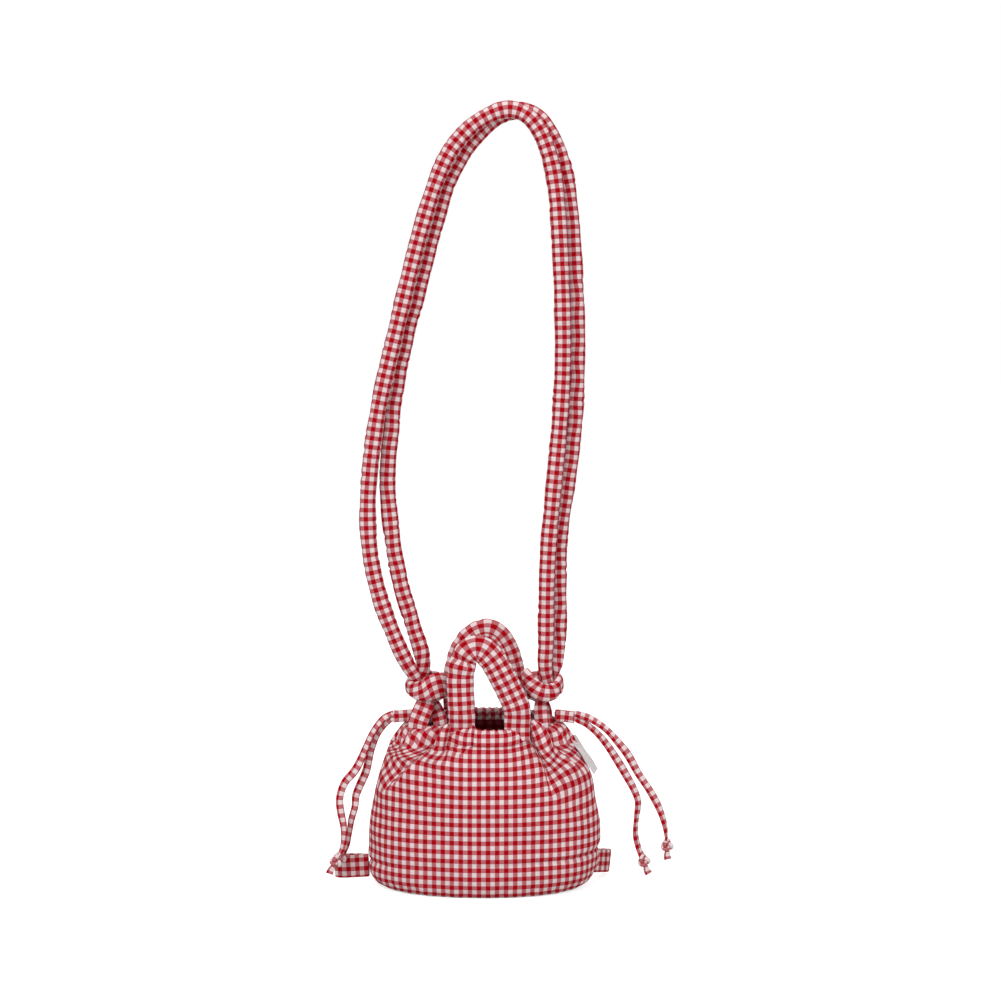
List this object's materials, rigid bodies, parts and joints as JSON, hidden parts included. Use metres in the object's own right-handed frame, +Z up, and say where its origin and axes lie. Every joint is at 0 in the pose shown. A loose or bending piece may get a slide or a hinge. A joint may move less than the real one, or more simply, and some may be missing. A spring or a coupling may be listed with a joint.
{
  "type": "convertible backpack",
  "caption": "Small gingham drawstring bag with padded grab handles, an endless padded strap hitched to side tabs, knotted drawcords and low side loops.",
  "frame": {"origin": "middle of the flat base, on its underside", "axes": "+Z up along the strap drop, -Y towards the front of the bag, -X towards its left side as seen from the front"},
  "size_m": [0.3494, 0.125, 0.7824],
  "materials": {
    "body_check": "red and white gingham cotton",
    "strap_check": "padded gingham cotton",
    "handle_check": "padded gingham cotton",
    "trim_check": "gingham cotton ribbon",
    "lining": "gingham cotton lining",
    "cord": "folded gingham strip",
    "label": "pale satin"
  },
  "bodies": {
    "root": {"front_panel": "body_check", "back_panel": "body_check", "base_panel": "body_check", "lining": "lining", "casing_front": "body_check", "casing_back": "body_check", "drawcord_left": "cord", "drawcord_right": "cord", "cord_sleeve_left": "trim_check", "cord_sleeve_right": "trim_check", "strap_tab_left": "trim_check", "strap_tab_right": "trim_check", "shoulder_strap": "strap_check", "handle_front": "handle_check", "handle_back": "handle_check", "base_loop_left": "trim_check", "base_loop_right": "trim_check", "side_label": "label", "tail_left_outer": "cord", "knot_left_outer": "cord", "tail_left_inner": "cord", "knot_left_inner": "cord", "tail_right_outer": "cord", "knot_right_outer": "cord", "tail_right_inner": "cord", "knot_right_inner": "cord"}
  },
  "joints": []
}
